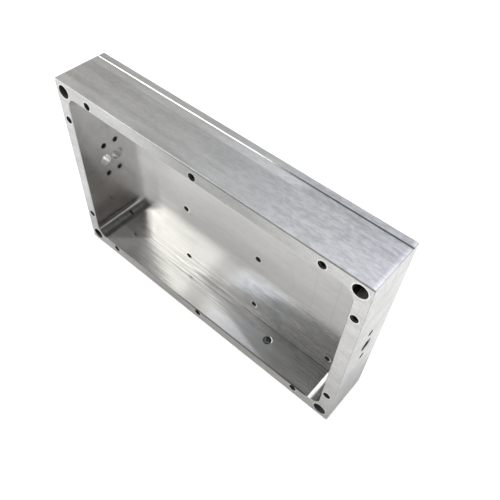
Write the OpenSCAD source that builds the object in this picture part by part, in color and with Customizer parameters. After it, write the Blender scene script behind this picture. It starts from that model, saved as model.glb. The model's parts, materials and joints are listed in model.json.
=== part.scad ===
// Amplifier enclosure: one shallow box milled out of a solid block of aluminium.
// It stands on its lower long wall, with X along its length and the open side facing -Y.
// The origin is at the middle of its lowest face.

/* [Body] */
// Length of the block, along X
body_l = 110; // [90:1:160]
// Height of the block, along Z
body_h = 69.5; // [55:0.5:110]
// Depth of the block, from the rim to the back, along Y
body_d = 18.4; // [16:0.2:40]
// Width of the small chamfer along every outer edge
edge_break = 0.1; // [0.05:0.05:0.8]

/* [Pocket] */
// Depth of the milled pocket, from the rim to its floor
pocket_depth = 11.5; // [7:0.5:13]
// Thickness of the two short walls
end_wall = 4.2; // [4:0.1:8]
// Thickness of the two long walls
long_wall = 4.5; // [4.4:0.1:8]
// Radius left by the cutter in the pocket's four corners
pocket_corner_r = 4; // [2:0.5:8]
// Width of the chamfer round the pocket's mouth
mouth_break = 0.15; // [0.05:0.05:0.2]

/* [Corner holes] */
// Diameter of the clearance holes that run through the whole block
corner_hole_d = 4.3; // [3:0.1:4.6]
// Distance of each corner hole from both outer edges
corner_inset = 3.3; // [3:0.1:3.6]

/* [Cover screw holes] */
// Diameter of the tapped holes in the rim
cover_hole_d = 2.5; // [1.6:0.1:2.6]
// Depth of the full diameter of these holes
cover_hole_depth = 7; // [4:0.5:10]
// Distance of the holes in the long rims from the outer edge
cover_inset_long = 3; // [2:0.1:3]
// Distance of the holes in the short rims from the outer edge
cover_inset_short = 2.5; // [2:0.1:2.6]
// Distance of the outermost holes from the block's ends
cover_end_offset = 13.75; // [9:0.25:18]

/* [Connector holes] */
// Diameter of the bore for the connector's dielectric, in both short walls
connector_bore_d = 4.3; // [2.5:0.1:5]
// Least distance between that bore and the pocket's floor
connector_floor_gap = 0.25; // [0.1:0.05:1]
// Diameter of the two tapped holes of each connector flange
flange_hole_d = 2.1; // [1.6:0.1:2.6]
// Distance between the two flange holes
flange_hole_spacing = 12.2; // [10:0.1:18]

/* [Supply hole] */
// Diameter of the supply feedthrough hole in the lower long wall
supply_hole_d = 3; // [2:0.1:5]
// Distance of the supply hole from the middle of the wall
supply_offset = 25; // [0:1:35]
// Distance between the edge of the supply hole and the pocket's floor
supply_floor_gap = 3; // [0.5:0.1:3.5]

/* [Board screw holes] */
// Diameter of the tapped holes in the pocket's floor
board_hole_d = 2.1; // [1.6:0.1:3]
// Depth of the full diameter of these holes
board_hole_depth = 4; // [2:0.5:4.5]
// Distance of the outer columns of holes from the short walls
board_margin_x = 5.8; // [4:0.1:15]
// Distance of the outer rows of holes from the long walls
board_margin_z = 6.25; // [4:0.05:12]
// Number of columns of holes
board_columns = 4; // [2:1:6]

/* [Back groove] */
// Width of the groove along the upper long face
groove_w = 0.5; // [0.2:0.05:1]
// Depth of the groove
groove_depth = 0.25; // [0.1:0.05:1]
// Distance of the groove from the back face
groove_from_back = 2.15; // [1:0.05:4]

/* [Hidden] */
$fn = 64;
// Length by which a cutting shape passes the face that it opens
overcut = 1;
// Half the point angle of a twist drill
drill_half_angle = 59;
pocket_l = body_l - 2 * end_wall;
pocket_h = body_h - 2 * long_wall;
// Depths of the hole axes behind the rim
connector_depth = pocket_depth - connector_floor_gap - connector_bore_d / 2;
supply_depth = pocket_depth - supply_floor_gap - supply_hole_d / 2;
// Columns and rows of the board screw holes, measured from the pocket's middle
board_span_x = pocket_l - 2 * board_margin_x;
board_span_z = pocket_h - 2 * board_margin_z;
board_pitch_x = board_span_x / (board_columns - 1);

// Corner points of a rectangle round the origin with all four corners cut at 45 degrees
function chamfered_rectangle(w, h, c) = [
    [w / 2 - c, -h / 2], [w / 2, -h / 2 + c], [w / 2, h / 2 - c], [w / 2 - c, h / 2],
    [-w / 2 + c, h / 2], [-w / 2, h / 2 - c], [-w / 2, -h / 2 + c], [-w / 2 + c, -h / 2]
];

// Turns what is drawn so that Z points into the block, from the middle of the rim plane
module from_rim() {
    translate([0, -body_d / 2, body_h / 2])
        rotate([-90, 0, 0])
            children();
}

// Draws its children at the four corners of a rectangle
module at_corners(dx, dy) {
    for (x = [-dx / 2, dx / 2], y = [-dy / 2, dy / 2])
        translate([x, y, 0])
            children();
}

// Straight hole that starts above its face
module through_hole(d, length) {
    translate([0, 0, -overcut])
        cylinder(d = d, h = length + 2 * overcut);
}

// Blind hole with the cone that a drill leaves at its end
module drilled_hole(d, depth) {
    translate([0, 0, -overcut])
        cylinder(d = d, h = depth + overcut);
    translate([0, 0, depth])
        cylinder(d1 = d, d2 = 0, h = d / 2 / tan(drill_half_angle));
}

// Block with a small chamfer along all twelve edges
module block() {
    translate([0, 0, body_h / 2])
        intersection() {
            linear_extrude(height = body_h, center = true)
                polygon(chamfered_rectangle(body_l, body_d, edge_break));
            rotate([90, 0, 0])
                linear_extrude(height = body_d, center = true)
                    polygon(chamfered_rectangle(body_l, body_h, edge_break));
            rotate([90, 0, 90])
                linear_extrude(height = body_l, center = true)
                    polygon(chamfered_rectangle(body_d, body_h, edge_break));
        }
}

// Rounded pocket with straight walls
module pocket_hollow() {
    straight_l = pocket_l - 2 * pocket_corner_r;
    straight_h = pocket_h - 2 * pocket_corner_r;
    cut_depth = pocket_depth + overcut;
    translate([0, 0, pocket_depth - cut_depth / 2]) {
        cube([pocket_l, straight_h, cut_depth], center = true);
        cube([straight_l, pocket_h, cut_depth], center = true);
        at_corners(straight_l, straight_h)
            cylinder(r = pocket_corner_r, h = cut_depth, center = true);
    }
}

// Wedge whose section narrows from the rim inwards, as wide as the pocket below the chamfer
module mouth_wedge(w, length) {
    rotate([90, 0, 0])
        linear_extrude(height = length, center = true)
            polygon([
                [-w / 2 - mouth_break - overcut, -overcut], [w / 2 + mouth_break + overcut, -overcut],
                [w / 2, mouth_break], [-w / 2, mouth_break]
            ]);
}

// Chamfer round the pocket's mouth: wedges along the walls and cones in the corners
module pocket_mouth() {
    straight_l = pocket_l - 2 * pocket_corner_r;
    straight_h = pocket_h - 2 * pocket_corner_r;
    mouth_wedge(pocket_l, straight_h);
    rotate([0, 0, 90])
        mouth_wedge(pocket_h, straight_l);
    at_corners(straight_l, straight_h)
        translate([0, 0, -overcut])
            cylinder(
                r1 = pocket_corner_r + mouth_break + overcut,
                r2 = pocket_corner_r,
                h = mouth_break + overcut
            );
}

// Clearance holes for the screws that hold the block on its heat sink
module corner_holes() {
    at_corners(body_l - 2 * corner_inset, body_h - 2 * corner_inset)
        through_hole(corner_hole_d, body_d);
}

// Tapped holes round the rim for the cover: three along each long wall, two along each short one
module cover_holes() {
    for (side = [-1, 1]) {
        for (x = [-1, 0, 1])
            translate([x * (body_l / 2 - cover_end_offset), side * (body_h / 2 - cover_inset_long), 0])
                drilled_hole(cover_hole_d, cover_hole_depth);
        for (y = [-1, 1])
            translate([side * (body_l / 2 - cover_inset_short), y * (body_h / 2 - cover_end_offset), 0])
                drilled_hole(cover_hole_d, cover_hole_depth);
    }
}

// Bore and two flange holes through both short walls, drilled in one line
module connector_holes() {
    for (side = [-1, 1])
        translate([side * body_l / 2, 0, connector_depth])
            rotate([0, -90 * side, 0]) {
                through_hole(connector_bore_d, end_wall);
                for (y = [-flange_hole_spacing / 2, flange_hole_spacing / 2])
                    translate([0, y, 0])
                        through_hole(flange_hole_d, end_wall);
            }
}

// Feedthrough hole in the lower long wall
module supply_hole() {
    translate([supply_offset, body_h / 2, supply_depth])
        rotate([90, 0, 0])
            through_hole(supply_hole_d, long_wall);
}

// Tapped holes for the circuit board: full outer rows, and a middle row without its end holes
module board_holes() {
    translate([0, 0, pocket_depth]) {
        for (column = [0 : board_columns - 1], row = [-1, 0, 1])
            if (row != 0 || (column > 0 && column < board_columns - 1))
                translate([column * board_pitch_x - board_span_x / 2, row * board_span_z / 2, 0])
                    drilled_hole(board_hole_d, board_hole_depth);
    }
}

// Groove along the whole upper face, close to the back
module back_groove() {
    translate([0, body_d / 2 - groove_from_back - groove_w / 2, body_h - groove_depth / 2 + overcut / 2])
        cube([body_l + 2 * overcut, groove_w, groove_depth + overcut], center = true);
}

module enclosure() {
    color([0.77, 0.78, 0.79])
        difference() {
            block();
            from_rim() {
                pocket_hollow();
                pocket_mouth();
                corner_holes();
                cover_holes();
                connector_holes();
                supply_hole();
                board_holes();
            }
            back_groove();
        }
}

enclosure();
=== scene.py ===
"""Looks of the amplifier enclosure: milled aluminium, thread ridges, a plain studio and the camera."""
import json
import math
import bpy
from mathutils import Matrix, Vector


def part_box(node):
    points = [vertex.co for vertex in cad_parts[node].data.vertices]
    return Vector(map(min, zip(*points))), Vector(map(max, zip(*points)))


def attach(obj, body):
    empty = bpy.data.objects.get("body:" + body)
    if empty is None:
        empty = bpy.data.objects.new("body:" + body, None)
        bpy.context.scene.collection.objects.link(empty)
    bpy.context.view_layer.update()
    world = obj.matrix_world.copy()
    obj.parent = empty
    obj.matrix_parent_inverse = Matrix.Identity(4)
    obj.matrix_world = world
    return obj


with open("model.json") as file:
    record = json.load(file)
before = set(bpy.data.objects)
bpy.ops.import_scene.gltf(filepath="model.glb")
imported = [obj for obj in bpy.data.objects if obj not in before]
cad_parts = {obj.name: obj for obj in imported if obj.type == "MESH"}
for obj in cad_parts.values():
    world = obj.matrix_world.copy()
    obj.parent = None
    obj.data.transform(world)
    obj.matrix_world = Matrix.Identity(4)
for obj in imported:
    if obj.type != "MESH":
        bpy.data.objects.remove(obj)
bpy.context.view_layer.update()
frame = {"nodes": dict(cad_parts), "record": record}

from types import SimpleNamespace

import bmesh
import bpy
from mathutils import Matrix, Vector

# Lengths and places are in millimetres unless their names say otherwise. The two numbers of a soft step are
# where it starts and ends. The four numbers of a soft area are where it starts, is full, begins to fade and
# ends. A tone is a share of the clear metal's brightness.
MM = 0.001

# The block and its pocket
BLOCK = frame["nodes"]["enclosure"]
BLOCK_LOW, BLOCK_HIGH = (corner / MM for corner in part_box("enclosure"))
MIDDLE_Z = BLOCK_HIGH.z / 2
END_WALL = 4.2
LONG_WALL = 4.5
POCKET_DEPTH = 11.5
POCKET_X = BLOCK_HIGH.x - END_WALL
POCKET_LOW_Z = BLOCK_LOW.z + LONG_WALL
POCKET_HIGH_Z = BLOCK_HIGH.z - LONG_WALL
RIM_Y = BLOCK_LOW.y
FLOOR_Y = RIM_Y + POCKET_DEPTH
EDGE_BREAK = 0.1
GROOVE_WIDTH = 0.5
GROOVE_FROM_BACK = 2.15
GROOVE_Y = BLOCK_HIGH.y - GROOVE_FROM_BACK - GROOVE_WIDTH / 2

MOUNTS = {mount["name"]: mount for mount in frame["record"]["mounts"]}
CONNECTOR = Vector(MOUNTS["connector_bore_right"]["pos_m"]) / MM
CONNECTOR_R = MOUNTS["connector_bore_right"]["dims"]["r_mm"]
SUPPLY = Vector(MOUNTS["supply_hole"]["pos_m"]) / MM
SUPPLY_R = MOUNTS["supply_hole"]["dims"]["r_mm"]

# Camera of the photograph
CAMERA_PLACE_M = Vector((0.07572, -0.08144, 0.16674))
CAMERA_RIGHT = Vector((0.7563, 0.6525, 0.0476))
CAMERA_BACK = Vector((0.3822, -0.4996, 0.7774))
CAMERA_LENS = 40.5
CAMERA_SENSOR = 36.0
CAMERA_CLIP_M = 0.005

# Dark card behind the camera, seen only as a reflection in the pocket's corner
CARD_LEFT = 40
CARD_RIGHT = 60
CARD_UP = 17
CARD_DOWN = 60
CARD_BEHIND = 2
CARD_COLOUR = (0.55, 0.495, 0.46)

# Studio: radiance from above, as a base and soft patches that lie over each other in this order. Each patch
# has its azimuth and elevation, the radii of its full and of its faded part, all in degrees, and its colour.
HORIZON_COLOUR = (1.0, 1.0, 1.0)
HORIZON_TOP_DEG = 5
CEILING_BOTTOM_DEG = 10
CEILING_COLOUR = (0.5, 0.495, 0.48)
STUDIO_PATCHES = (
    (-40, 34, 30, 36, (0.25, 0.245, 0.24)),
    (-33, 51, 9, 15, (1.55, 1.57, 1.58)),
    (-142, 38, 12, 23, (2.6, 2.57, 2.42)),
    (-138, 35, 8, 13, (4.8, 4.75, 4.5)),
    (-92, 66, 16.5, 19.5, (0.2, 0.2, 0.2)),
    (-118, 61, 7, 11, (0.18, 0.18, 0.18)),
    (-131, 59.5, 2.5, 5, (1.9, 1.95, 2.1)),
    (-100, 44, 17, 20.5, (0.28, 0.28, 0.28)),
    (-106, 24, 15.5, 19, (0.25, 0.25, 0.25)),
    (127, 46, 4, 14, (0.74, 0.76, 0.8)),
    (95, 58, 6, 26, (0.38, 0.43, 0.57)),
)
# Soft box behind and above the block
LAMP_AZIMUTH = 85
LAMP_ELEVATION = 78
LAMP_DISTANCE_M = 1.2
LAMP_SIZE_M = 0.8
LAMP_RADIANCE = 1.5

# Pale floor, and the ground under the block, painted dark as shade
FLOOR_SIZE_M = 6.0
FLOOR_COLOUR = (0.95, 0.95, 0.95)
UNDER_SHADE_COLOUR = (0.06, 0.06, 0.06)
# White that is added to the floor for the camera's rays, and for reflections
FLOOR_LIFT_SEEN = 0.55
FLOOR_LIFT_MIRRORED = 0.42
# Distance from the block's foot over which the reflected white grows, and the share of it at the foot
FOOT_SHADE = (10, 24)
FOOT_LIGHT = 0.28
# Light on the ground that the supply hole's wall mirrors: how far it reaches and where it starts, in radii of
# the hole, the direction of its strong side, and its strength there and on the side of the rim
HOLE_LIGHT_REACH = 2
HOLE_LIGHT_START = 0.7
HOLE_LIGHT_TOWARD = (0.9, -0.4)
HOLE_LIGHT = 1.0
HOLE_NEAR_LIGHT = 0.45

# Tolerances within which a point counts as lying on a face and on the rim
SLACK = 0.04
RIM_SLACK = 0.01
# Least part of a face's direction along an axis at which it counts as square to it, and the least part along
# both X and Z at which it belongs to a corner cut
FACING = 0.8
FILLET_SLANT = 0.03

# Clear aluminium, and the roughness of the outside and of each zone. A later zone lies over an earlier one.
ALUMINIUM = (0.620, 0.618, 0.612)
ANISOTROPY = 0.5
OUTSIDE_ROUGHNESS = 0.34
ROUGHNESS = {
    "rim": 0.3,
    "pocket": 0.14,
    "fillets": 0.09,
    "floor": 0.13,
    "end_walls": 0.24,
    "long_walls": 0.24,
    "chamfers": 0.35,
    "groove": 0.12,
    "bores": 0.3,
    "bright_bores": 0.14,
    "corner_bores": 0.8,
    "dull_fillet": 0.3,
    "dull_spot": 0.34,
}
# Change of the roughness across the grain, and the share of it that is left close to the lower left corner
GRAIN_ROUGHNESS = 0.1
CORNER_SMOOTH = 0.5
CORNER_SMOOTH_X = (-42, -34)
CORNER_SMOOTH_Z = (10, 22)

# Noises of the metal: their waves for each millimetre along X, Y and Z, detail, roughness and shift. The
# first three are the grain of most faces, of the ends and of the pocket's end walls.
NOISES = {
    "along": ((0.05, 1.9, 1.9), 3, 0.6, (0, 0, 0)),
    "upward": ((1.9, 1.9, 0.05), 3, 0.6, (0, 0, 0)),
    "inward": ((1.4, 0.05, 1.4), 3, 0.6, (0, 0, 0)),
    "streaks": ((0.015, 0.45, 0.45), 3, 0.55, (7, 3, 1)),
    "waves": ((0.03, 0.6, 0.6), 2, 0.5, (4, 8, 6)),
    "cloud": ((0.06, 0.22, 0.22), 3, 0.5, (2, 5, 9)),
    "mottle": ((0.5, 1.3, 1.3), 3, 0.65, (1, 6, 3)),
    "sand": ((2.5, 2.5, 2.5), 2, 0.5, (3, 1, 7)),
    "patches": ((0.25, 0.7, 0.7), 3, 0.6, (8, 1, 4)),
    "marks": ((0.04, 1.5, 1.5), 2, 0.5, (5, 2, 8)),
}
# How far a noise goes from its middle to reach its full effect, and the shorter ways of hard spots and stains
NOISE_REACH = 0.2
HARD_REACH = 0.12
STAIN_REACH = 0.14
# How much the noises change the tone
GRAIN_TONE = 0.03
STREAKS_TONE = 0.05
CLOUD_TONE = 0.07
MOTTLE_TONE = 0.06
SAND_TONE = 0.08
# Share of the grain and streaks that shows on the rim, and of the noises that shows in the pocket
RIM_LINES = 0.2
POCKET_CALM = 0.45
# Bumps: their full height, and the share of each noise in it, outside and in the pocket. The waves are on the
# pocket's long walls only, and their shares are those at the left and at the right.
BUMP_HEIGHT = 0.012
GRAIN_BUMPS = (0.4, 0.1)
STREAK_BUMPS = 0.6
MOTTLE_BUMPS = (0.8, 0.1)
WAVE_BUMPS_X = (10, 30)
WAVE_BUMPS = (5.0, 1.5)

# Tones of painted shade on the chamfers, in the tapped holes and in the corner holes, which lie in a square
# at each corner
CHAMFER_TONE = 0.7
DARK_BORE_TONE = 0.15
CORNER_BORE_TONE = 0.3
CORNER_ZONE = 6
# Tones of painted shade in the right-hand connector bore, and on the front, back and left of the supply
# hole's upper part. Its left starts at this share of the hole's radius.
CONNECTOR_TONE = 0.3
SUPPLY_TOP_Z = (0.8, 1.5)
SUPPLY_FRONT_TONE = 0.6
SUPPLY_BACK_TONE = 0.12
SUPPLY_LEFT_TONE = 0.9
SUPPLY_LEFT_START = 0.75
# Rings that the boring tool left in the connector and supply bores: their spacing and their slope
FEED_MARK = 0.7
FEED_SLOPE = 0.3

# Painted highlight: a lighter ring round each hole of the rim and the floor
RING_PATTERNS = ("cover_holes", "board_holes", "corner_holes")
RING_WIDTH = 0.35
RING_HIGHLIGHT_TONE = 1.28
# The right-hand sides of the floor's rings and of the supply hole's edge lean, and catch the light. The
# latter starts at this share of the hole's radius.
GLINT_LEAN = -0.2
SUPPLY_GLINT_WIDTH = 0.24
SUPPLY_GLINT_START = 1.1

# Painted shade on the rim, and painted light and shade on its lower part, as tones from left to right
RIM_X = (20, 50)
RIM_TONES = (0.9, 0.98)
LOWER_RIM_X = (-50, -25)
LOWER_RIM_TONES = (1.12, 0.88)
# Darker middle part of the upper rim
UPPER_RIM_DARK_X = (-34, 4, 14, 46)
UPPER_RIM_DARK_TONE = 0.66
# Where the dark lines of painted shade along the upper rim's edge and the pocket's lower corner begin
DARK_LINES_X = (-20, 5)
RIM_LINE_WIDTH = 0.45
RIM_LINE_TONE = 0.42
# Dark line of painted shade along the mouth's lower edge
MOUTH_LINE_WIDTH = 0.3
MOUTH_LINE_X = (-14, -4)
MOUTH_LINE_TONES = (0.7, 0.28)

# Light streak along the upper face, and how its tone grows from left to right
STREAK_DEPTH = 14.2
STREAK_WIDTH = (0.9, 1.8)
STREAK_END_X = (20, 28)
STREAK_X = (-15, 5)
STREAK_TONES = (1.12, 1.24)
# Darker streak along the right-hand part of the same face
DARK_STREAK_DEPTH = 14.0
DARK_STREAK_WIDTH = (0.3, 1.3)
DARK_STREAK_X = (22, 28, 42, 48)
DARK_STREAK_TONE = 0.86
# Light band along the left part of the same face's edge, and another across its right-hand end, a painted
# highlight along the edge with the end face
EDGE_BAND_DEPTH = (2.5, 5)
EDGE_BAND_X = (-28, -14)
EDGE_BAND_TONE = 1.14
END_BAND = 1.5
END_BAND_TONE = 1.5
# Cloudiness of the same face's right-hand part
TOP_CLOUDS_X = (5, 35)
TOP_CLOUDS_TONE = 0.06
# Scratches along the same face: distance from the rim, width and tone. They show where the streaks are light.
SCRATCHES = ((11.0, 0.5, 0.8), (12.7, 0.6, 0.9), (15.7, 0.35, 0.78))
SCRATCH_LEVELS = (0.35, 0.6)

# Painted light and shade: the ends are lighter toward the top, and on a slanting area of their lower part
ENDS_Z = (5, 45)
ENDS_TONE = 1.14
ENDS_SLANT = (14, 28)
ENDS_SLANT_Z = (26, 40)
ENDS_SLANT_TONE = 1.2

# Painted light on the upper part of the pocket's end walls
UPPER_WALL_Z = (48, 60)
UPPER_WALL_TONE = 1.15
# Lower wall: a darker band of painted shade across it, a light slanting streak of painted highlight, and
# painted shade beyond that streak
ACROSS_X = (-12, -6, -4, 2)
ACROSS_TONE = 0.8
STREAK_SLOPE = 3.6
LIGHT_STREAK_X = (-1, 7)
LIGHT_STREAK_END = (27, 33)
LIGHT_STREAK_DEPTH = (3.5, 6)
LIGHT_STREAK_TONE = 1.3
WALL_SHADE = (26, 33, 41, 55)
WALL_SHADE_TONE = 0.78
# Shade at the same wall's left corner, with a slanting edge
CORNER_SHADE_X = -46.8
CORNER_SHADE_SLOPE = 0.97
CORNER_SHADE_EDGE = (-1.5, 1.5)
CORNER_SHADE_TONE = 0.68

# Kink between the lower wall and the right-hand corner cuts, and the parts of the corner cuts darkened by
# painted shade, by the part of their direction along X. The left one's shaded part is also rougher.
FILLET_LEAN = -0.2
FILLET_SHADE_NX = (0.3, 0.38)
FILLET_SHADE_TONE = 0.5
LEFT_FILLET_DULL_AND_SHADE = (0.87, 0.9)
LEFT_FILLET_SHADE_TONE = 0.5

# Painted shade as a dark line on the floor and a painted highlight as a light line on the wall, along the
# pocket's lower corner
CORNER_DARK_WIDTH = 0.6
CORNER_DARK_TONE = 0.4
CORNER_LIGHT_WIDTH = 0.4
CORNER_LIGHT_TONE = 1.6
CORNER_LIGHT_X = (-8, 8)
CORNER_LIGHT_FADE_X = (25, 45)
CORNER_LIGHT_LEFT_OVER = 0.3
# Tool marks close to the same corner: how far from it they reach, and how strong they are
CORNER_MARKS_REACH = (1.75, 7.0)
CORNER_MARKS_X = (-26, -16, 0, 20)
CORNER_MARKS_TONE = 0.22

# Rounded rectangles that the cutter left on the pocket's floor: their distances from the walls, their corner
# radius, half the width of their lines, and how much those change the tone
PASS_INSETS = (8.2, 15.5, 22.6)
PASS_CORNER_R = 5.0
PASS_LINE = (0.1, 0.35)
PASS_TONE = -0.05
# Uneven lower part of the floor: lean along X low down, and along Z higher up
LOW_LEAN = 0.055
LOW_LEAN_X = (-22, -2)
LOW_LEAN_Z = (8.5, 18.5)
HIGH_LEAN = -0.04
HIGH_LEAN_X = (-34, -26)
HIGH_LEAN_Z = (12.5, 20.5, 28.5, 34.5)
# Stains on the floor's right-hand lower part
STAINS_X = (2, 18)
STAINS_Z = (22, 32)
STAINS_TONE = 0.13
# Painted light and shade: soft lighter and darker areas of the floor, each along X and along Z, and its tone
WHOLE_LENGTH = (-61, -60, 60, 61)
PAST_TOP = (70, 71)
FLOOR_TONES = (
    ((-38, -35, -30, -26), (20, 23, 39, 43), 0.85),
    ((-29, -25, -21, -15), (24, 28, 32, 36), 1.18),
    ((-40, -36, -31, -27), (9, 13, 18, 21), 0.88),
    ((17, 25, 48, 52), (3, 4, 21.5, 24.5), 0.78),
    ((10, 22, 48, 52), (23.5, 26, 27, 29.5), 1.16),
    ((-13, -7, 8, 14), (3, 4, 20, 25), 1.1),
    ((-12, -7, 2, 8), (3, 4, 10, 15), 1.08),
    ((-52, -51, -40, -37), (22, 25, 33, 37), 0.87),
    ((34, 46, 52, 53), (34, 38, 62, 63), 0.92),
    ((-36.3, -34.7, -31, -15), (30, 42, *PAST_TOP), 0.78),
    (WHOLE_LENGTH, (38, 47, *PAST_TOP), 0.87),
)
# Painted shade at the floor's left, with a slanting edge on its right
LEFT_SHADE_X = (-39, -35)
LEFT_SHADE_SLOPE = 1.2
LEFT_SHADE_EDGE = (-60.5, -57)
LEFT_SHADE_Z = (16, 20, 23, 28)
LEFT_SHADE_TONE = 0.45
# Duller spot of the floor beside the supply hole
DULL_SPOT_X = (21, 24, 32, 35)
DULL_SPOT_Z = (7, 9.5, 16, 19)
# Painted bluish light on an area of the floor, and the strength of red and blue there and on the lower wall's
# light streak
BLUISH_X = (2, 8, 22, 32)
BLUISH_Z = (9, 13, 20, 25)
BLUISH = (0.98, 1.045)

# Thread ridges by the first words of their mounts' names: radius at the crest, pitch and depth
THREADS = (
    ("cover_holes", 1.02, 0.45, 7.0),
    ("board_holes", 0.82, 0.4, 4.0),
    ("connector_flange", 0.82, 0.4, END_WALL),
)
# Steps in a turn, turns over which a ridge grows at both ends, and how far it starts below the hole's mouth
THREAD_STEPS = 32
THREAD_FADE_TURNS = 1 / 3
THREAD_START = 0.12
# Section of a ridge: its root inside the hole's wall, and the widths of root and tip as shares of the pitch
THREAD_SINK = 0.03
THREAD_ROOT = 0.86
THREAD_TIP = 0.2
# Cut thread: waves of its noise for each millimetre, its shades and roughness between two levels of that
# noise, and its bumps. The very dark shades are painted shade inside the holes.
THREAD_WAVES = 6
THREAD_SHADE_LEVELS = (0.35, 0.65)
THREAD_SHADES = (0.02, 0.11)
THREAD_ROUGHNESS_LEVELS = (0.3, 0.7)
THREAD_ROUGHNESS = (0.3, 0.42)
THREAD_BUMP_HEIGHT = 0.01
THREAD_BUMP_STRENGTH = 0.5


class Nodes:
    """Short calls that add nodes to one tree. A socket may stand where a number does."""

    def __init__(self, tree):
        self.tree = tree
        tree.nodes.clear()

    def put(self, socket, value):
        if isinstance(value, bpy.types.NodeSocket):
            self.tree.links.new(value, socket)
        else:
            socket.default_value = value

    def add(self, kind, values=(), out=0, **settings):
        """values is a list in the order of the inputs, or a dictionary by input name or index."""
        made = self.tree.nodes.new("ShaderNode" + kind)
        for name, value in settings.items():
            setattr(made, name, value)
        pairs = values.items() if isinstance(values, dict) else enumerate(values)
        for key, value in pairs:
            self.put(made.inputs[key], value)
        return made.outputs[out] if made.outputs else made

    def math(self, operation, *values):
        return self.add("Math", values, operation=operation)

    def chain(self, operation, first, *others):
        """The operation on the first two values, then on its result and the third, and so on."""
        for other in others:
            first = self.math(operation, first, other)
        return first

    def times(self, *values):
        return self.chain("MULTIPLY", *values)

    def plus(self, *values):
        return self.chain("ADD", *values)

    def largest(self, *values):
        return self.chain("MAXIMUM", *values)

    def smaller(self, a, b):
        return self.math("MINIMUM", a, b)

    def minus(self, a, b):
        return self.math("SUBTRACT", a, b)

    def size(self, a):
        return self.math("ABSOLUTE", a)

    def apart(self, a, b):
        return self.size(self.minus(a, b))

    def distance(self, dx, dy):
        return self.math("SQRT", self.plus(self.times(dx, dx), self.times(dy, dy)))

    def over(self, a, limit):
        return self.math("GREATER_THAN", a, limit)

    def under(self, a, limit):
        return self.math("LESS_THAN", a, limit)

    def within(self, a, low, high):
        return self.times(self.over(a, low), self.under(a, high))

    def near(self, a, middle, reach):
        return self.under(self.apart(a, middle), reach)

    def outside(self, mask):
        return self.minus(1, mask)

    def ramp(self, value, low, high, new_low=0.0, new_high=1.0):
        """Smooth step from new_low to new_high as value goes from low to high."""
        return self.add(
            "MapRange", (value, low, high, new_low, new_high), interpolation_type="SMOOTHSTEP"
        )

    def fall(self, value, fade, end):
        """Smooth step from 1 to 0 as value goes from fade to end."""
        return self.ramp(value, fade, end, 1, 0)

    def span(self, value, start, full, fade, end):
        """1 between full and fade, and a smooth step to 0 on both sides."""
        return self.times(self.ramp(value, start, full), self.fall(value, fade, end))

    def swing(self, noise, strength, reach=NOISE_REACH):
        """Smooth step from -strength to strength, over the reach on both sides of the noise's middle."""
        return self.ramp(noise, 0.5 - reach, 0.5 + reach, -strength, strength)

    def parts(self, vector):
        return self.add("SeparateXYZ", (vector,)).node.outputs

    def blend(self, share, a, b):
        """A number that goes from a to b as share goes from 0 to 1."""
        return self.add("Mix", {0: share, 2: a, 3: b}, data_type="FLOAT")

    def turn(self, share, a, b):
        """A vector that goes from a to b as share goes from 0 to 1."""
        return self.add("Mix", {0: share, 4: a, 5: b}, out=1, data_type="VECTOR")

    def colour(self, share, a, b, kind="MIX"):
        a, b = (value if isinstance(value, bpy.types.NodeSocket) else (*value, 1) for value in (a, b))
        return self.add("Mix", {0: share, 6: a, 7: b}, out=2, data_type="RGBA", blend_type=kind)

    def place(self):
        """Place in the object's own frame, in millimetres."""
        metres = self.add("TexCoord").node.outputs["Object"]
        return self.add("VectorMath", {0: metres, "Scale": 1 / MM}, operation="SCALE")

    def noise(self, place, stretch, detail, roughness=0.5, shift=(0, 0, 0)):
        """Noise from 0 to 1. stretch gives the number of its waves for each millimetre along X, Y and Z."""
        moved = self.add("Mapping", {"Vector": place, "Scale": stretch, "Location": shift})
        return self.add("TexNoise", {"Vector": moved, "Scale": 1.0, "Detail": detail, "Roughness": roughness})


def new_material(name):
    """A material, and the calls that fill its empty tree."""
    material = bpy.data.materials.new(name)
    material.use_nodes = True
    return material, Nodes(material.node_tree)


def add_object(name, data):
    made = bpy.data.objects.new(name, data)
    bpy.context.scene.collection.objects.link(made)
    return made


def make_camera():
    data = bpy.data.cameras.new("camera")
    data.lens = CAMERA_LENS
    data.sensor_width = CAMERA_SENSOR
    data.sensor_fit = "HORIZONTAL"
    data.clip_start = CAMERA_CLIP_M
    camera = add_object("camera", data)
    back = CAMERA_BACK.normalized()
    right = (CAMERA_RIGHT - back * CAMERA_RIGHT.dot(back)).normalized()
    turn = Matrix((right, back.cross(right), back)).transposed()
    camera.matrix_world = Matrix.Translation(CAMERA_PLACE_M) @ turn.to_4x4()
    bpy.context.scene.camera = camera


def direction(azimuth, elevation):
    a, e = math.radians(azimuth), math.radians(elevation)
    return Vector((math.cos(e) * math.cos(a), math.cos(e) * math.sin(a), math.sin(e)))


def make_world():
    world = bpy.data.worlds.new("studio")
    bpy.context.scene.world = world
    world.use_nodes = True
    n = Nodes(world.node_tree)
    toward = n.add("TexCoord")
    up = n.add("SeparateXYZ", (toward,), out=2)
    low, high = (math.sin(math.radians(e)) for e in (HORIZON_TOP_DEG, CEILING_BOTTOM_DEG))
    light = n.colour(n.ramp(up, low, high), HORIZON_COLOUR, CEILING_COLOUR)
    for azimuth, elevation, full, faded, colour in STUDIO_PATCHES:
        middle = direction(azimuth, elevation)
        nearness = n.add("VectorMath", (toward, middle), out=1, operation="DOT_PRODUCT")
        share = n.ramp(nearness, math.cos(math.radians(faded)), math.cos(math.radians(full)))
        light = n.colour(share, light, colour)
    light = n.colour(n.add("LightPath").node.outputs["Is Camera Ray"], light, HORIZON_COLOUR)
    background = n.add("Background", (light, 1.0))
    n.add("OutputWorld", (background,))


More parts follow.
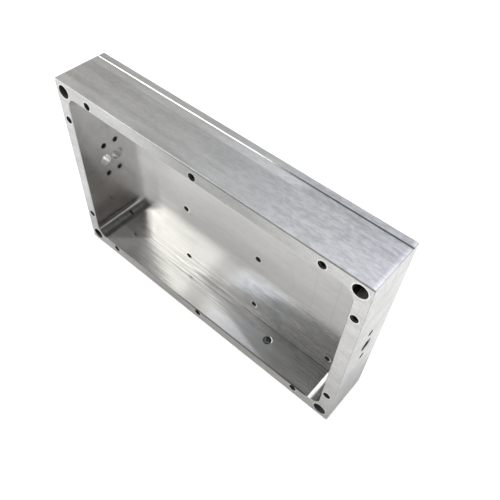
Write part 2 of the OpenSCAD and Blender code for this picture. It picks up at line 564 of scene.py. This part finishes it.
def make_lamp():
    data = bpy.data.lights.new("soft_box", "AREA")
    data.shape = "SQUARE"
    data.size = LAMP_SIZE_M
    data.energy = LAMP_RADIANCE * math.pi * LAMP_SIZE_M ** 2
    lamp = add_object("soft_box", data)
    toward = direction(LAMP_AZIMUTH, LAMP_ELEVATION)
    lamp.location = toward * LAMP_DISTANCE_M
    lamp.rotation_euler = toward.to_track_quat("Z", "Y").to_euler()


def rectangle(name, corners, material):
    mesh = bpy.data.meshes.new(name)
    mesh.from_pydata([tuple(corner) for corner in corners], [], [(0, 1, 2, 3)])
    mesh.materials.append(material)
    return add_object(name, mesh)


def light_below_hole(n, x, y):
    """Light on the ground inside the supply hole, on its right-hand side and on the side of the rim."""
    from_x, from_y = n.minus(x, SUPPLY.x), n.minus(y, SUPPLY.y)
    toward_x, toward_y = HOLE_LIGHT_TOWARD
    toward_light = n.plus(n.times(from_x, toward_x), n.times(from_y, toward_y))
    strong_side = n.over(toward_light, HOLE_LIGHT_START * SUPPLY_R)
    return n.times(
        n.under(n.distance(from_x, from_y), HOLE_LIGHT_REACH * SUPPLY_R),
        n.largest(n.times(strong_side, HOLE_LIGHT), n.times(n.under(from_y, 0), HOLE_NEAR_LIGHT)),
    )


def make_floor():
    """Pale floor. Camera, glossy and transmission rays see it lifted to white, and it keeps the shadow."""
    material, n = new_material("pale_floor")
    path = n.add("LightPath").node.outputs
    x, y, _ = n.parts(n.place())
    beyond_x = n.largest(n.minus(n.size(x), BLOCK_HIGH.x), 0)
    beyond_y = n.largest(n.minus(n.size(y), BLOCK_HIGH.y), 0)
    away = n.distance(beyond_x, beyond_y)
    in_open = n.over(away, 0)
    white = n.times(n.ramp(away, *FOOT_SHADE, FOOT_LIGHT, 1), FLOOR_LIFT_MIRRORED)
    below_hole = n.times(n.under(away, SLACK), light_below_hole(n, x, y))
    in_mirror = n.largest(path["Is Glossy Ray"], path["Is Transmission Ray"])
    strength = n.plus(
        n.times(path["Is Camera Ray"], in_open, FLOOR_LIFT_SEEN),
        n.times(in_mirror, n.plus(white, below_hole)),
    )
    # The ground under the block is painted dark as shade
    painted = n.add("BsdfDiffuse", {"Color": n.colour(in_open, UNDER_SHADE_COLOUR, FLOOR_COLOUR)})
    lift = n.add("Emission", {"Color": (1, 1, 1, 1), "Strength": strength})
    n.add("OutputMaterial", (n.add("AddShader", (painted, lift)),))
    half = FLOOR_SIZE_M / 2
    corners = [(-half, -half, 0), (half, -half, 0), (half, half, 0), (-half, half, 0)]
    rectangle("floor", corners, material)


def make_card():
    material, n = new_material("dark_card")
    n.add("OutputMaterial", (n.add("BsdfDiffuse", {"Color": (*CARD_COLOUR, 1)}),))
    places = (
        (-CARD_LEFT, -CARD_DOWN),
        (CARD_RIGHT, -CARD_DOWN),
        (CARD_RIGHT, CARD_UP),
        (-CARD_LEFT, CARD_UP),
    )
    camera = bpy.context.scene.camera.matrix_world
    corners = [camera @ (Vector((x, y, CARD_BEHIND)) * MM) for x, y in places]
    card = rectangle("camera_card", corners, material)
    card.visible_camera = False
    card.visible_shadow = False


def hole_mouths(mount):
    """Centres of a bolt pattern's holes, in millimetres."""
    outward = Vector(mount["axis"])
    up = Vector((0, 0, 1))
    across = up.cross(outward)
    dims = mount["dims"]
    shifts_x = [s * dims["spacing_x_mm"] / 2 for s in (-1, 1)] if "spacing_x_mm" in dims else [0]
    shifts_z = [s * dims["spacing_y_mm"] / 2 for s in (-1, 1)] if "spacing_y_mm" in dims else [0]
    middle = Vector(mount["pos_m"]) / MM
    return [middle + across * dx + up * dz for dx in shifts_x for dz in shifts_z]


def look_at_block(n):
    """Place of a point on the block, the sizes of its direction's parts, and the noises there."""
    place = n.place()
    x, y, z = n.parts(place)
    nx, ny, nz = (n.size(part) for part in n.parts(n.add("TexCoord").node.outputs["Normal"]))
    depth = n.minus(y, RIM_Y)
    return SimpleNamespace(
        x=x,
        y=y,
        z=z,
        nx=nx,
        ny=ny,
        nz=nz,
        depth=depth,
        slanting=n.plus(x, n.times(depth, STREAK_SLOPE)),
        from_middle_x=n.size(x),
        from_middle_z=n.apart(z, MIDDLE_Z),
        noise={name: n.noise(place, *settings) for name, settings in NOISES.items()},
    )


def face_zones(n, at):
    """Masks of the block's faces."""
    pocket = n.times(
        n.under(at.from_middle_x, POCKET_X + SLACK),
        n.within(at.y, RIM_Y + SLACK, FLOOR_Y + SLACK),
        n.within(at.z, POCKET_LOW_Z - SLACK, POCKET_HIGH_Z + SLACK),
    )
    outer = n.outside(pocket)
    slanted = n.under(n.largest(at.nx, at.ny, at.nz), FACING)
    at_edge = n.largest(
        n.over(at.from_middle_x, BLOCK_HIGH.x - EDGE_BREAK - SLACK),
        n.over(n.size(at.y), BLOCK_HIGH.y - EDGE_BREAK - SLACK),
        n.over(at.from_middle_z, MIDDLE_Z - EDGE_BREAK - SLACK),
    )
    at_groove = n.near(at.y, GROOVE_Y, GROOVE_WIDTH / 2 + SLACK)
    return {
        "pocket": pocket,
        "outer": outer,
        "rim": n.under(at.y, RIM_Y + RIM_SLACK),
        "top": n.over(at.z, BLOCK_HIGH.z - SLACK),
        "ends": n.times(outer, n.over(at.nx, FACING)),
        "chamfers": n.times(outer, slanted, at_edge),
        "groove": n.times(at_groove, n.over(at.z, BLOCK_HIGH.z - 2 * GROOVE_WIDTH)),
        "floor": n.times(pocket, n.over(at.ny, FACING)),
        "end_walls": n.times(pocket, n.over(at.nx, FACING)),
        "long_walls": n.times(pocket, n.over(at.nz, FACING)),
        "fillets": n.times(pocket, n.over(n.smaller(at.nx, at.nz), FILLET_SLANT)),
    }


def bore_zones(n, at, zone):
    """Masks of the holes' walls."""
    bores = n.times(
        n.under(at.from_middle_x, BLOCK_HIGH.x - SLACK),
        n.within(at.y, RIM_Y + SLACK, BLOCK_HIGH.y - SLACK),
        n.within(at.z, SLACK, BLOCK_HIGH.z - SLACK),
        zone["outer"],
        n.outside(zone["groove"]),
        n.outside(zone["chamfers"]),
    )
    connector = n.times(
        bores,
        n.over(at.from_middle_x, POCKET_X + SLACK),
        n.near(at.y, CONNECTOR.y, CONNECTOR_R + SLACK),
        n.near(at.z, CONNECTOR.z, CONNECTOR_R + SLACK),
    )
    supply = n.times(
        bores,
        n.under(at.z, POCKET_LOW_Z - SLACK),
        n.near(at.x, SUPPLY.x, SUPPLY_R + SLACK),
        n.near(at.y, SUPPLY.y, SUPPLY_R + SLACK),
    )
    corner_bores = n.times(
        bores,
        n.over(at.from_middle_x, BLOCK_HIGH.x - CORNER_ZONE),
        n.over(at.from_middle_z, MIDDLE_Z - CORNER_ZONE),
    )
    return {
        "bores": bores,
        "connector": connector,
        "supply": supply,
        "bright_bores": n.largest(connector, supply),
        "corner_bores": corner_bores,
    }


def area_zones(n, at, zone):
    """Masks of the areas that differ from the rest of their face in more than their tone."""
    lower_wall = n.times(zone["long_walls"], n.under(at.z, MIDDLE_Z))
    light_streak = n.times(
        lower_wall,
        n.ramp(at.x, *LIGHT_STREAK_X),
        n.fall(at.slanting, *LIGHT_STREAK_END),
        n.fall(at.depth, *LIGHT_STREAK_DEPTH),
    )
    lower_left = n.times(n.under(at.x, 0), n.under(at.z, MIDDLE_Z))
    dull_fillet = n.times(zone["fillets"], lower_left, n.fall(at.nx, *LEFT_FILLET_DULL_AND_SHADE))
    near_corner = n.times(
        zone["pocket"], n.fall(at.x, *CORNER_SMOOTH_X), n.fall(at.z, *CORNER_SMOOTH_Z)
    )
    return {
        "lower_wall": lower_wall,
        "light_streak": light_streak,
        "right_fillets": n.times(zone["fillets"], n.over(at.x, 0)),
        "dull_fillet": dull_fillet,
        "dull_spot": n.times(zone["floor"], n.span(at.x, *DULL_SPOT_X), n.span(at.z, *DULL_SPOT_Z)),
        "near_corner": n.times(near_corner, n.outside(dull_fillet)),
    }


def ring_zones(n, at, zone):
    """Masks of the painted highlight rings round the holes, and of the glints on their right-hand sides.

    Each pattern is symmetric about the block's middle, so its holes are all found from the outermost one.
    """
    right = n.math("SIGN", at.x)
    rings = []
    glints = []
    for mount in MOUNTS.values():
        if not mount["name"].startswith(RING_PATTERNS):
            continue
        on_floor = mount["name"].startswith("board_holes")
        radius = mount["dims"]["hole_r_mm"]
        mouth = max(hole_mouths(mount), key=lambda place: place.x + place.z)
        from_x = n.minus(at.from_middle_x, mouth.x)
        from_z = n.minus(at.from_middle_z, mouth.z - MIDDLE_Z)
        around = n.under(n.distance(from_x, from_z), radius + RING_WIDTH)
        ring = n.times(around, zone["floor" if on_floor else "rim"])
        rings.append(ring)
        if on_floor:
            glints.append(n.times(ring, n.over(n.times(from_x, right), radius / 2)))
    from_x, from_y = n.minus(at.x, SUPPLY.x), n.minus(at.y, SUPPLY.y)
    supply_glint = n.times(
        zone["lower_wall"],
        n.under(n.distance(from_x, from_y), SUPPLY_R + SUPPLY_GLINT_WIDTH),
        n.over(n.plus(from_x, from_y), SUPPLY_GLINT_START * SUPPLY_R),
    )
    return {"rings": n.largest(*rings), "glints": n.largest(supply_glint, *glints)}


def find_zones(n, at):
    """Masks of all the places of the block that have a finish, or painted light and shade, of their own."""
    zone = face_zones(n, at)
    for more_zones in (bore_zones, area_zones, ring_zones):
        zone.update(more_zones(n, at, zone))
    return zone


# Each of the next functions gives pairs of a mask and the tone within it. Most of these tones are painted
# light and shade.


def bore_tones(n, at, zone):
    # Painted shade in the holes' walls; the rings round the holes are painted highlights
    dark = n.times(zone["bores"], n.outside(zone["bright_bores"]))
    supply_top = n.times(zone["supply"], n.ramp(at.z, *SUPPLY_TOP_Z))
    supply_tone = n.blend(n.over(at.y, SUPPLY.y), SUPPLY_FRONT_TONE, SUPPLY_BACK_TONE)
    on_left = n.under(n.minus(at.x, SUPPLY.x), -SUPPLY_LEFT_START * SUPPLY_R)
    return [
        (dark, n.blend(zone["corner_bores"], DARK_BORE_TONE, CORNER_BORE_TONE)),
        (supply_top, n.blend(on_left, supply_tone, SUPPLY_LEFT_TONE)),
        (n.times(zone["connector"], n.over(at.x, 0)), CONNECTOR_TONE),
        (zone["rings"], RING_HIGHLIGHT_TONE),
    ]


def rim_tones(n, at, zone):
    # Painted shade and light on the rim, along its upper edge and along the mouth's lower edge
    rim = zone["rim"]
    upper_edge = n.over(at.z, BLOCK_HIGH.z - EDGE_BREAK - RIM_LINE_WIDTH)
    mouth_edge = n.times(
        n.under(at.y, RIM_Y + MOUTH_LINE_WIDTH),
        n.within(at.z, POCKET_LOW_Z - MOUTH_LINE_WIDTH, POCKET_LOW_Z + SLACK),
        n.under(at.from_middle_x, POCKET_X - PASS_CORNER_R),
    )
    return [
        (zone["chamfers"], CHAMFER_TONE),
        (rim, n.ramp(at.x, *RIM_X, *RIM_TONES)),
        (n.times(rim, n.under(at.z, POCKET_LOW_Z)), n.ramp(at.x, *LOWER_RIM_X, *LOWER_RIM_TONES)),
        (n.times(rim, n.over(at.z, POCKET_HIGH_Z), n.span(at.x, *UPPER_RIM_DARK_X)), UPPER_RIM_DARK_TONE),
        (n.times(rim, upper_edge, n.ramp(at.x, *DARK_LINES_X)), RIM_LINE_TONE),
        (mouth_edge, n.ramp(at.x, *MOUTH_LINE_X, *MOUTH_LINE_TONES)),
    ]


def top_tones(n, at, zone):
    streak = n.times(n.fall(n.apart(at.depth, STREAK_DEPTH), *STREAK_WIDTH), n.fall(at.x, *STREAK_END_X))
    from_dark = n.apart(at.depth, DARK_STREAK_DEPTH)
    dark_streak = n.times(n.fall(from_dark, *DARK_STREAK_WIDTH), n.span(at.x, *DARK_STREAK_X))
    edge_band = n.times(n.fall(at.depth, *EDGE_BAND_DEPTH), n.fall(at.x, *EDGE_BAND_X))
    # The end band is a painted highlight along the edge with the end face
    end_band = n.ramp(at.x, BLOCK_HIGH.x - END_BAND, BLOCK_HIGH.x - EDGE_BREAK)
    tones = [
        (streak, n.ramp(at.x, *STREAK_X, *STREAK_TONES)),
        (dark_streak, DARK_STREAK_TONE),
        (edge_band, EDGE_BAND_TONE),
        (end_band, END_BAND_TONE),
    ]
    shown = n.ramp(at.noise["streaks"], *SCRATCH_LEVELS)
    for depth, width, tone in SCRATCHES:
        tones.append((n.times(shown, n.fall(n.apart(at.depth, depth), 0, width)), tone))
    return [(n.times(zone["top"], area), tone) for area, tone in tones]


def end_tones(n, at, zone):
    # Painted light and shade on the ends
    slanting = n.times(n.ramp(n.plus(at.y, at.z), *ENDS_SLANT), n.fall(at.z, *ENDS_SLANT_Z))
    return [
        (n.times(zone["ends"], n.ramp(at.z, *ENDS_Z)), ENDS_TONE),
        (n.times(zone["ends"], slanting), ENDS_SLANT_TONE),
    ]


def wall_tones(n, at, zone):
    # Painted light and shade on the pocket's walls and corner cuts
    lower_wall = zone["lower_wall"]
    beside_corner = n.minus(at.depth, n.times(n.minus(at.x, CORNER_SHADE_X), CORNER_SHADE_SLOPE))
    return [
        (n.times(zone["end_walls"], n.ramp(at.z, *UPPER_WALL_Z)), UPPER_WALL_TONE),
        (n.times(lower_wall, n.span(at.x, *ACROSS_X)), ACROSS_TONE),
        (zone["light_streak"], LIGHT_STREAK_TONE),
        (n.times(lower_wall, n.span(at.slanting, *WALL_SHADE)), WALL_SHADE_TONE),
        (n.times(lower_wall, n.ramp(beside_corner, *CORNER_SHADE_EDGE)), CORNER_SHADE_TONE),
        (n.times(zone["right_fillets"], n.ramp(at.nx, *FILLET_SHADE_NX)), FILLET_SHADE_TONE),
        (zone["dull_fillet"], LEFT_FILLET_SHADE_TONE),
    ]


def corner_tones(n, at, zone):
    # Painted shade and highlight along the pocket's lower corner; the tool marks are the metal's own
    on_floor = n.times(zone["floor"], n.under(at.z, POCKET_LOW_Z + CORNER_DARK_WIDTH))
    on_wall = n.times(
        zone["long_walls"],
        n.under(at.z, POCKET_LOW_Z + SLACK),
        n.over(at.y, FLOOR_Y - CORNER_LIGHT_WIDTH),
    )
    light_part = n.times(
        n.ramp(at.x, *CORNER_LIGHT_X), n.ramp(at.x, *CORNER_LIGHT_FADE_X, 1, CORNER_LIGHT_LEFT_OVER)
    )
    from_corner = n.largest(n.minus(at.z, POCKET_LOW_Z), n.minus(FLOOR_Y, at.y))
    marked = n.times(
        zone["pocket"], n.fall(from_corner, *CORNER_MARKS_REACH), n.span(at.x, *CORNER_MARKS_X)
    )
    return [
        (n.times(on_floor, n.ramp(at.x, *DARK_LINES_X)), CORNER_DARK_TONE),
        (n.times(on_wall, light_part), CORNER_LIGHT_TONE),
        (marked, n.plus(1, n.swing(at.noise["marks"], CORNER_MARKS_TONE, HARD_REACH))),
    ]


def floor_tones(n, at, zone):
    # Painted light and shade on the pocket's floor
    left_shade = n.times(
        n.ramp(at.x, *LEFT_SHADE_X),
        n.fall(n.minus(at.x, n.times(at.z, LEFT_SHADE_SLOPE)), *LEFT_SHADE_EDGE),
        n.span(at.z, *LEFT_SHADE_Z),
    )
    tones = [(left_shade, LEFT_SHADE_TONE)]
    for span_x, span_z, tone in FLOOR_TONES:
        tones.append((n.times(n.span(at.x, *span_x), n.span(at.z, *span_z)), tone))
    return [(n.times(zone["floor"], area), tone) for area, tone in tones]


def pass_lines(n, at):
    """Faint steps between the cutter's passes on the pocket's floor: rounded rectangles inside each other."""
    half_height = (POCKET_HIGH_Z - POCKET_LOW_Z) / 2
    from_x = n.minus(at.from_middle_x, POCKET_X - PASS_CORNER_R)
    from_z = n.minus(at.from_middle_z, half_height - PASS_CORNER_R)
    lines = []
    for inset in PASS_INSETS:
        dx = n.largest(n.plus(from_x, inset), 0)
        dz = n.largest(n.plus(from_z, inset), 0)
        lines.append(n.fall(n.apart(n.distance(dx, dz), PASS_CORNER_R), *PASS_LINE))
    return n.largest(*lines)


def uneven_tone(n, at, zone, grain):
    """Change of the tone by the noises and by the cutter's passes."""
    noise = at.noise
    lines = n.plus(n.swing(grain, GRAIN_TONE), n.swing(noise["streaks"], STREAKS_TONE))
    top_clouds = n.swing(noise["mottle"], TOP_CLOUDS_TONE, HARD_REACH)
    fine = n.plus(
        n.times(lines, n.blend(zone["rim"], 1.0, RIM_LINES)),
        n.swing(noise["cloud"], CLOUD_TONE),
        n.swing(noise["mottle"], MOTTLE_TONE),
        n.times(zone["rim"], n.swing(noise["sand"], SAND_TONE)),
        n.times(zone["top"], top_clouds, n.ramp(at.x, *TOP_CLOUDS_X)),
    )
    stained = n.times(zone["floor"], n.ramp(at.x, *STAINS_X), n.fall(at.z, *STAINS_Z))
    return n.plus(
        n.times(fine, n.blend(zone["pocket"], 1.0, POCKET_CALM)),
        n.times(stained, n.swing(noise["patches"], STAINS_TONE, STAIN_REACH)),
        n.times(zone["floor"], pass_lines(n, at), PASS_TONE),
    )


def metal_colour(n, at, zone, grain):
    shade = n.plus(1, uneven_tone(n, at, zone, grain))
    for face_tones in (bore_tones, rim_tones, top_tones, end_tones, wall_tones, corner_tones, floor_tones):
        for area, tone in face_tones(n, at, zone):
            shade = n.times(shade, n.blend(area, 1.0, tone))
    # Painted bluish light
    bluish_floor = n.times(zone["floor"], n.span(at.x, *BLUISH_X), n.span(at.z, *BLUISH_Z))
    bluish = n.largest(zone["light_streak"], bluish_floor)
    red, blue = (n.times(shade, n.blend(bluish, 1.0, strength)) for strength in BLUISH)
    return n.colour(1.0, ALUMINIUM, n.add("CombineXYZ", (red, shade, blue)), kind="MULTIPLY")


def metal_roughness(n, zone, grain):
    rough = OUTSIDE_ROUGHNESS
    for name, value in ROUGHNESS.items():
        rough = n.blend(zone[name], rough, value)
    uneven = n.plus(1, n.swing(grain, GRAIN_ROUGHNESS))
    return n.times(rough, uneven, n.blend(zone["near_corner"], 1.0, CORNER_SMOOTH))


def leaned_normal(n, at, zone, flat):
    """Direction of the surface, leaned where the face waves, kinks, glints or bears the boring rings."""
    low = n.times(zone["floor"], n.fall(at.z, *LOW_LEAN_Z), n.ramp(at.x, *LOW_LEAN_X))
    high = n.times(zone["floor"], n.span(at.z, *HIGH_LEAN_Z), n.ramp(at.x, *HIGH_LEAN_X))
    feed_x, feed_z = (n.math("SINE", n.times(along, math.tau / FEED_MARK)) for along in (at.x, at.z))
    lean_x = n.plus(
        n.times(low, LOW_LEAN),
        n.times(zone["right_fillets"], FILLET_LEAN),
        n.times(zone["glints"], GLINT_LEAN),
        n.times(zone["connector"], feed_x, FEED_SLOPE),
    )
    lean_z = n.plus(n.times(high, HIGH_LEAN), n.times(zone["supply"], feed_z, FEED_SLOPE))
    lean = n.add("CombineXYZ", (lean_x, 0.0, lean_z))
    leaned = n.add("VectorMath", (flat, lean), operation="ADD")
    return n.add("VectorMath", (leaned,), operation="NORMALIZE")


def metal_bumps(n, at, zone, grain, normal):
    height = n.plus(
        n.times(grain, n.blend(zone["pocket"], *GRAIN_BUMPS)),
        n.times(at.noise["streaks"], STREAK_BUMPS),
        n.times(at.noise["mottle"], n.blend(zone["pocket"], *MOTTLE_BUMPS)),
        n.times(at.noise["waves"], zone["long_walls"], n.ramp(at.x, *WAVE_BUMPS_X, *WAVE_BUMPS)),
    )
    return n.add("Bump", {"Strength": 1.0, "Distance": BUMP_HEIGHT * MM, "Height": height, "Normal": normal})


def spread_direction(n, at, zone, flat):
    """Reflections spread across the tool's marks: along X on the long walls, and mostly along Z elsewhere."""
    spread = n.add("VectorMath", (flat, (1, 0, 0)), operation="CROSS_PRODUCT")
    spread = n.turn(zone["long_walls"], spread, (1, 0, 0))
    return n.turn(n.over(at.nx, FACING), spread, (0, 0, 1))


def make_aluminium():
    """Milled aluminium whose finish follows the face: brushed outside, cutter-bright in the pocket."""
    # The colour of this metal carries painted light and shade
    material, n = new_material("milled_aluminium")
    at = look_at_block(n)
    zone = find_zones(n, at)
    outer_grain = n.blend(zone["ends"], at.noise["along"], at.noise["upward"])
    grain = n.blend(zone["end_walls"], outer_grain, at.noise["inward"])
    flat = n.add("NewGeometry").node.outputs["Normal"]
    surface = n.add(
        "BsdfPrincipled",
        {
            "Base Color": metal_colour(n, at, zone, grain),
            "Metallic": 1.0,
            "Roughness": metal_roughness(n, zone, grain),
            "Normal": metal_bumps(n, at, zone, grain, leaned_normal(n, at, zone, flat)),
            "Anisotropic": ANISOTROPY,
            "Tangent": spread_direction(n, at, zone, flat),
        },
    )
    n.add("OutputMaterial", (surface,))
    return material


def make_thread_metal():
    """Cut thread: rougher than the faces, with torn grain, and painted dark as the shade inside the holes."""
    material, n = new_material("cut_thread")
    grain = n.noise(n.place(), (THREAD_WAVES,) * 3, detail=3)
    shade = n.ramp(grain, *THREAD_SHADE_LEVELS, *THREAD_SHADES)
    bump_height = THREAD_BUMP_HEIGHT * MM
    surface = n.add(
        "BsdfPrincipled",
        {
            "Base Color": n.add("CombineXYZ", (shade, shade, shade)),
            "Metallic": 1.0,
            "Roughness": n.ramp(grain, *THREAD_ROUGHNESS_LEVELS, *THREAD_ROUGHNESS),
            "Normal": n.add(
                "Bump", {"Strength": THREAD_BUMP_STRENGTH, "Distance": bump_height, "Height": grain}
            ),
        },
    )
    n.add("OutputMaterial", (surface,))
    return material


def make_thread(name, mouth, outward, bore_r, crest_r, pitch, depth):
    """Helical ridge of trapezoidal section, rooted just inside the bore's wall."""
    inward = -outward
    side = Vector((0, 0, 1))
    other = inward.cross(side)
    root, tip = THREAD_ROOT * pitch, THREAD_TIP * pitch
    travel = depth - 2 * THREAD_START - root
    count = int(travel / pitch * THREAD_STEPS)
    fade_steps = THREAD_STEPS * THREAD_FADE_TURNS
    root_r = bore_r + THREAD_SINK
    mesh = bmesh.new()
    rings = []
    for step in range(count + 1):
        turn = math.tau * step / THREAD_STEPS
        around = side * math.cos(turn) + other * math.sin(turn)
        along = THREAD_START + root / 2 + pitch * step / THREAD_STEPS
        share = min(1, (step + 1) / fade_steps, (count - step + 1) / fade_steps)
        crest = bore_r + (crest_r - bore_r) * share
        section = ((root_r, -root / 2), (crest, -tip / 2), (crest, tip / 2), (root_r, root / 2))
        rings.append([mesh.verts.new((mouth + around * r + inward * (along + s)) * MM) for r, s in section])
    for first, second in zip(rings, rings[1:]):
        for k in range(4):
            mesh.faces.new((first[k], first[(k + 1) % 4], second[(k + 1) % 4], second[k]))
    mesh.faces.new(rings[0])
    mesh.faces.new(reversed(rings[-1]))
    bmesh.ops.recalc_face_normals(mesh, faces=mesh.faces)
    data = bpy.data.meshes.new(name)
    mesh.to_mesh(data)
    mesh.free()
    return add_object(name, data)


def make_threads(material):
    for mount in MOUNTS.values():
        for start, crest_r, pitch, depth in THREADS:
            if not mount["name"].startswith(start):
                continue
            bore_r = mount["dims"]["hole_r_mm"]
            outward = Vector(mount["axis"])
            for number, mouth in enumerate(hole_mouths(mount), 1):
                name = f"thread_{mount['name']}_{number}"
                thread = make_thread(name, mouth, outward, bore_r, crest_r, pitch, depth)
                thread.data.materials.append(material)
                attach(thread, "root")


def main():
    bpy.context.scene.view_settings.view_transform = "Standard"
    make_camera()
    make_world()
    make_lamp()
    make_floor()
    make_card()
    BLOCK.material_slots[0].material = make_aluminium()
    make_threads(make_thread_metal())


main()
